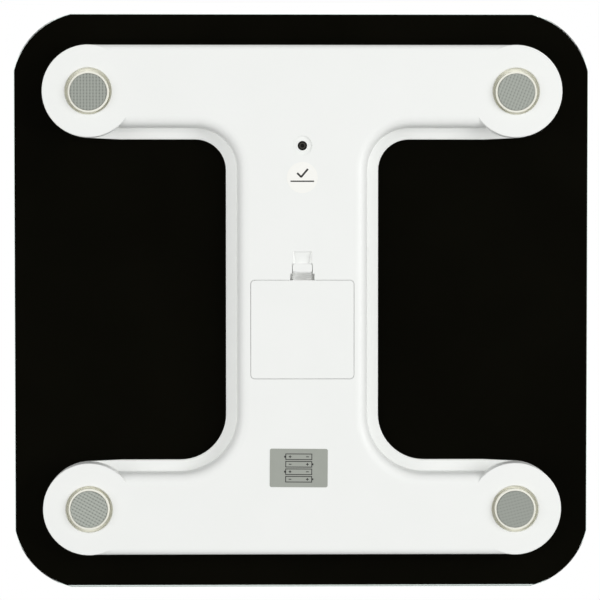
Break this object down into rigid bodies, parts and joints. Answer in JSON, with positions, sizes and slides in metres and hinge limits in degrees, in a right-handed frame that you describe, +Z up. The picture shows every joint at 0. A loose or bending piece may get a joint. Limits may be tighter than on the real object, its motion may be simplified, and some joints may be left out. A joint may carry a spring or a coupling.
{
  "type": "digital bathroom scale",
  "caption": "Square black-backed glass bathroom scale on a white H-shaped moulded base, with floating feet, latched battery cover, unit button and a display under the glass.",
  "frame": {"origin": "on the floor under the middle of the platform", "axes": "+Z up, +Y towards the display end, +X to the right seen from above"},
  "size_m": [0.3, 0.3, 0.0246],
  "materials": {
    "clear_glass": "polished, chamfered edge",
    "black_print": "screen printed on the back of the glass",
    "bonding_tape": "foam tape",
    "white_housing": "moulded, satin",
    "black_button": "moulded",
    "switch_body": "moulded",
    "circuit_board": "solder mask",
    "plated_steel": "zinc plated",
    "black_resin": "potting",
    "display_panel": "liquid crystal panel",
    "inner_plastic": "moulded",
    "contact_rubber": "layered conductive rubber",
    "silver_label": "metallised film",
    "paper_sticker": "paper",
    "nickel_contact": "nickel plated spring strip",
    "battery_wrap": "printed sleeve",
    "ivory_foot": "moulded",
    "woven_pad": "woven face",
    "cell_steel": "stamped sheet",
    "gauge_potting": "silicone",
    "grey_lead": "insulated wire",
    "red_lead": "insulated wire",
    "black_lead": "insulated wire"
  },
  "bodies": {
    "base": {"glass_platform": "clear_glass", "back_print": "black_print", "bonding_tape": "bonding_tape", "base_housing": "white_housing", "switch_body": "switch_body", "circuit_board": "circuit_board", "board_screws": "plated_steel", "chip": "black_resin", "display_panel": "display_panel", "display_frame": "inner_plastic", "contact_strip": "contact_rubber", "rating_label": "silver_label", "inspection_sticker": "paper_sticker", "contact_positive": "nickel_contact", "contact_negative": "nickel_contact", "battery_lead_positive": "red_lead", "battery_lead_negative": "black_lead", "battery_1": "battery_wrap", "battery_2": "battery_wrap", "battery_3": "battery_wrap", "battery_4": "battery_wrap", "contact_bridge_1": "nickel_contact", "contact_bridge_2": "nickel_contact", "contact_bridge_3": "nickel_contact", "load_cell_display_left": "cell_steel", "gauge_display_left": "gauge_potting", "cell_bracket_display_left": "inner_plastic", "sensor_lead_display_left": "grey_lead", "load_cell_display_right": "cell_steel", "gauge_display_right": "gauge_potting", "cell_bracket_display_right": "inner_plastic", "sensor_lead_display_right": "grey_lead", "load_cell_far_left": "cell_steel", "gauge_far_left": "gauge_potting", "cell_bracket_far_left": "inner_plastic", "sensor_lead_far_left": "grey_lead", "load_cell_far_right": "cell_steel", "gauge_far_right": "gauge_potting", "cell_bracket_far_right": "inner_plastic", "sensor_lead_far_right": "grey_lead"},
    "button": {"unit_button": "black_button", "switch_plunger": "black_button"},
    "cover": {"battery_cover": "white_housing"},
    "latch": {"cover_latch": "white_housing"},
    "foot_display_left": {"foot_cup_display_left": "ivory_foot", "foot_pad_display_left": "woven_pad"},
    "foot_display_right": {"foot_cup_display_right": "ivory_foot", "foot_pad_display_right": "woven_pad"},
    "foot_far_left": {"foot_cup_far_left": "ivory_foot", "foot_pad_far_left": "woven_pad"},
    "foot_far_right": {"foot_cup_far_right": "ivory_foot", "foot_pad_far_right": "woven_pad"}
  },
  "joints": [
    {"name": "foot_drop_display_left", "type": "slide", "parent": "base", "child": "foot_display_left", "axis": [0, 0, -1], "range_m": [0, 0.0006]},
    {"name": "foot_drop_display_right", "type": "slide", "parent": "base", "child": "foot_display_right", "axis": [0, 0, -1], "range_m": [0, 0.0006]},
    {"name": "foot_drop_far_left", "type": "slide", "parent": "base", "child": "foot_far_left", "axis": [0, 0, -1], "range_m": [0, 0.0006]},
    {"name": "foot_drop_far_right", "type": "slide", "parent": "base", "child": "foot_far_right", "axis": [0, 0, -1], "range_m": [0, 0.0006]},
    {"name": "button_press", "type": "slide", "parent": "base", "child": "button", "axis": [0, 0, 1], "range_m": [0, 0.0006], "stiffness_N_per_m": 2000},
    {"name": "cover_hinge", "type": "hinge", "parent": "base", "child": "cover", "pos_m": [-0.0003, -0.03966, 0.003], "axis": [-1, 0, 0], "range_deg": [0, 60], "deforming": ["cover_latch"]},
    {"name": "latch_flex", "type": "hinge", "parent": "cover", "child": "latch", "pos_m": [-0.0003, 0.01585, 0.0104], "axis": [-1, 0, 0], "range_deg": [0, 12], "stiffness_Nm_per_rad": 0.15}
  ]
}
